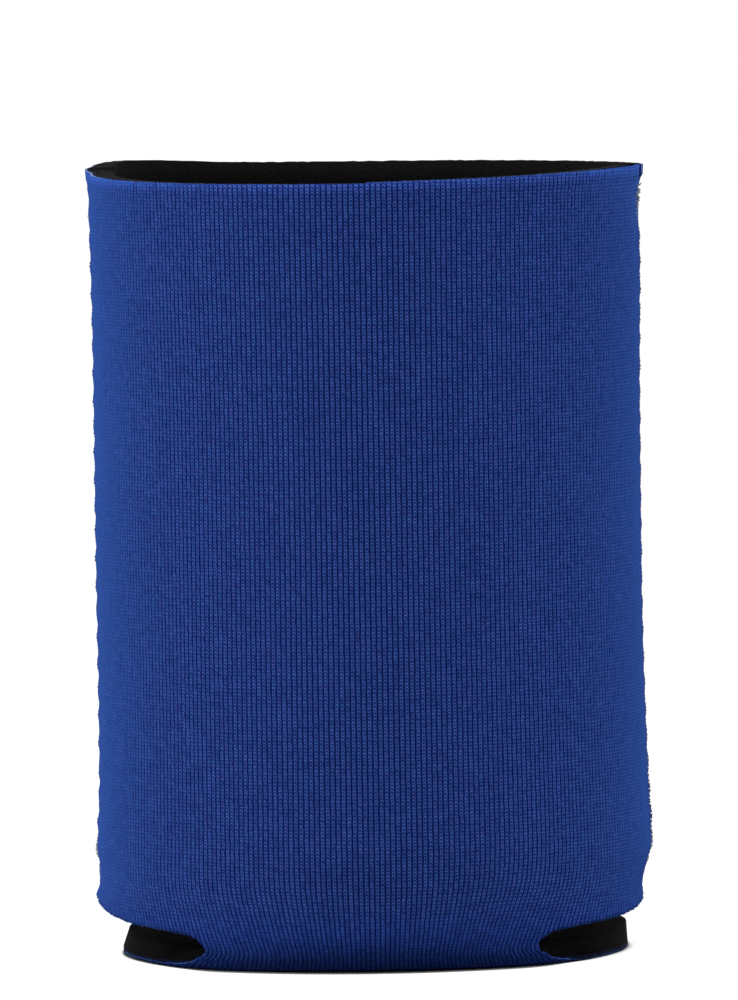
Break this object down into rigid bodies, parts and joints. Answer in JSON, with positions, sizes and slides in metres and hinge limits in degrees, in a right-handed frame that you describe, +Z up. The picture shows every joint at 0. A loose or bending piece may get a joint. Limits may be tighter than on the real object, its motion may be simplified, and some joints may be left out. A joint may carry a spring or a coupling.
{
  "type": "can cooler sleeve",
  "caption": "Insulating drink sleeve: knit-faced foam sheet folded under as a base and sewn up both sides, open at the top, with slots beside the base.",
  "frame": {"origin": "centre of the base, on the surface that the sleeve stands on", "axes": "+Z up through the open mouth, -Y towards the front panel, +X towards the right seam seen from the front"},
  "size_m": [0.0736, 0.0724, 0.1024],
  "materials": {
    "knit": "matte ribbed knit, royal to navy blue",
    "foam": "matte black cut foam",
    "thread": "matte spun thread, grey blue"
  },
  "bodies": {
    "root": {"knit_cover": "knit", "foam_body": "foam", "left_seam_thread": "thread", "right_seam_thread": "thread"}
  },
  "joints": []
}
